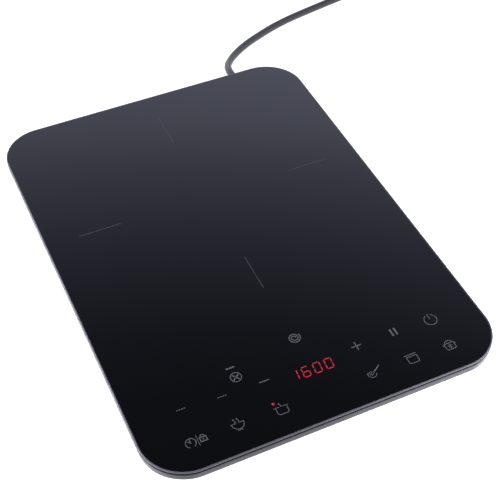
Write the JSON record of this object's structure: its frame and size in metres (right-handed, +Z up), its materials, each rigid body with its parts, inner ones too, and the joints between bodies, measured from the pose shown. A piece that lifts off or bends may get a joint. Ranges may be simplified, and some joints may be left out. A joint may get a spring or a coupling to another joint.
{
  "type": "electric induction cooktop",
  "caption": "Slim portable induction cooktop: black glass plate on a silver frame and vented tub, with coil, power board, fan and touch board inside, and a mains cord with plug.",
  "frame": {"origin": "on the worktop, under the middle of the case, without the cord", "axes": "+Z up, +Y from the control edge to the back, +X to the right of a person at the controls"},
  "size_m": [0.4825, 0.6039, 0.041],
  "materials": {
    "black_glass": "polished, opaque black ceramic glass",
    "silver_paint": "satin silver-grey paint",
    "tub_plastic": "fine moulded texture",
    "black_rubber": "matte",
    "foot_rubber": "matte",
    "cord_rubber": "satin sheath",
    "black_plastic": "satin",
    "plug_plastic": "satin, moulded",
    "cream_plastic": "heat-proof moulding",
    "litz_copper": "enamelled stranded copper wire",
    "mica": "flaky satin sheet",
    "ferrite": "pressed and sintered",
    "white_silicone": "matte",
    "spring_steel": "zinc plated",
    "board_green": "solder mask",
    "aluminium": "extruded, satin",
    "capacitor_film": "moulded case",
    "transformer_core": "laminated core",
    "white_ceramic": "satin",
    "brass": "turned",
    "brass_plated": "nickel plated",
    "red_lens": "dark red lens",
    "ribbon_grey": "flat ribbon",
    "black_lead": "insulated lead",
    "brown_lead": "insulated lead",
    "blue_lead": "insulated lead",
    "print_grey": "fired ceramic print",
    "display_red": "lit segments"
  },
  "bodies": {
    "case": {"glass_plate": "black_glass", "glass_trim": "silver_paint", "glass_seal": "black_rubber", "upper_frame": "silver_paint", "base_tub": "tub_plastic", "foot_front_left": "foot_rubber", "foot_front_right": "foot_rubber", "foot_rear_left": "foot_rubber", "foot_rear_right": "foot_rubber", "case_screw_front_left": "spring_steel", "case_screw_front_right": "spring_steel", "case_screw_rear_left": "spring_steel", "case_screw_rear_right": "spring_steel", "case_screw_middle_left": "spring_steel", "case_screw_middle_right": "spring_steel", "coil_former": "cream_plastic", "work_coil": "litz_copper", "mica_sheet": "mica", "ferrite_bar_1": "ferrite", "ferrite_bar_2": "ferrite", "ferrite_bar_3": "ferrite", "ferrite_bar_4": "ferrite", "ferrite_bar_5": "ferrite", "ferrite_bar_6": "ferrite", "temperature_sensor": "white_silicone", "sensor_spring": "spring_steel", "coil_spring_1": "spring_steel", "coil_spring_2": "spring_steel", "coil_spring_3": "spring_steel", "power_board": "board_green", "heatsink": "aluminium", "igbt": "black_plastic", "bridge_rectifier": "black_plastic", "filter_choke": "litz_copper", "bus_capacitor": "capacitor_film", "resonance_capacitor": "capacitor_film", "mains_filter_capacitor": "capacitor_film", "standby_transformer": "transformer_core", "fuse": "white_ceramic", "mains_terminal": "white_ceramic", "fan_frame": "black_plastic", "fan_motor": "litz_copper", "fan_bearing": "brass", "control_board": "board_green", "display_module": "red_lens", "ribbon_cable": "ribbon_grey", "coil_lead_inner": "black_lead", "coil_lead_outer": "black_lead", "mains_lead_live": "brown_lead", "mains_lead_neutral": "blue_lead", "cord_gland": "cord_rubber", "power_cord": "cord_rubber", "cord_coil": "cord_rubber", "cord_tie": "black_plastic", "mains_plug": "plug_plastic", "plug_pin_left": "brass_plated", "plug_pin_right": "brass_plated", "cord_clamp": "black_plastic"},
    "fan": {"fan_rotor": "black_plastic", "fan_shaft": "spring_steel"}
  },
  "joints": [
    {"name": "fan_spin", "type": "hinge", "parent": "case", "child": "fan", "pos_m": [-0.064, -0.084, 0.014], "axis": [0, 0, 1], "continuous": true}
  ]
}
